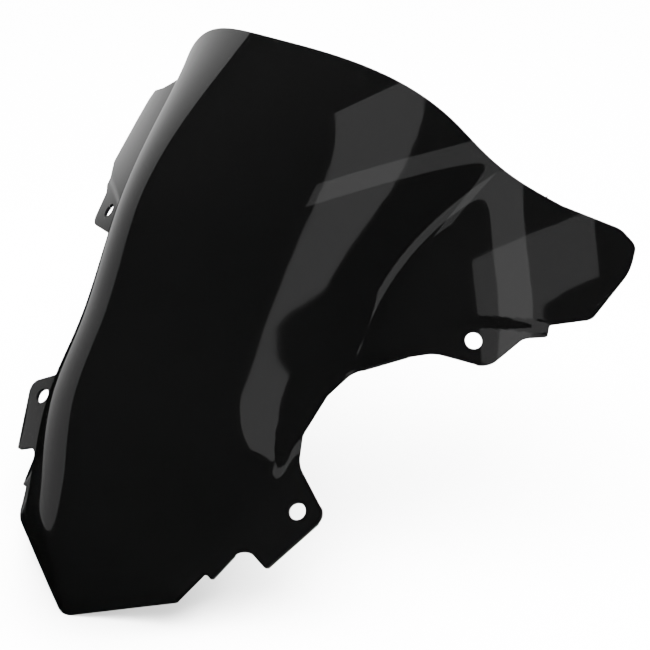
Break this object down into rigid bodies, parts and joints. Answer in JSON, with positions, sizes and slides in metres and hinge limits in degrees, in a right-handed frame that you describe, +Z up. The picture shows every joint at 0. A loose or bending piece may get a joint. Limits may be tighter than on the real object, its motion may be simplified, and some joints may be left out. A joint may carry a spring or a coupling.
{
  "type": "motorcycle windshield screen",
  "caption": "Double-bubble motorcycle windshield screen in gloss black acrylic, with flared side wings, a folded nose and a stepped flange with holed tabs.",
  "frame": {"origin": "under the middle of the screen's box, level with the lowest point of the nose", "axes": "+X to the right wing as seen from the front with the nose towards the viewer, -Y forward over the nose, +Z up, with the screen raked back as fitted"},
  "size_m": [0.397, 0.3092, 0.2935],
  "materials": {
    "screen": "high gloss thermoformed acrylic, dark smoke that reads as black"
  },
  "bodies": {
    "root": {"screen": "screen"}
  },
  "joints": []
}
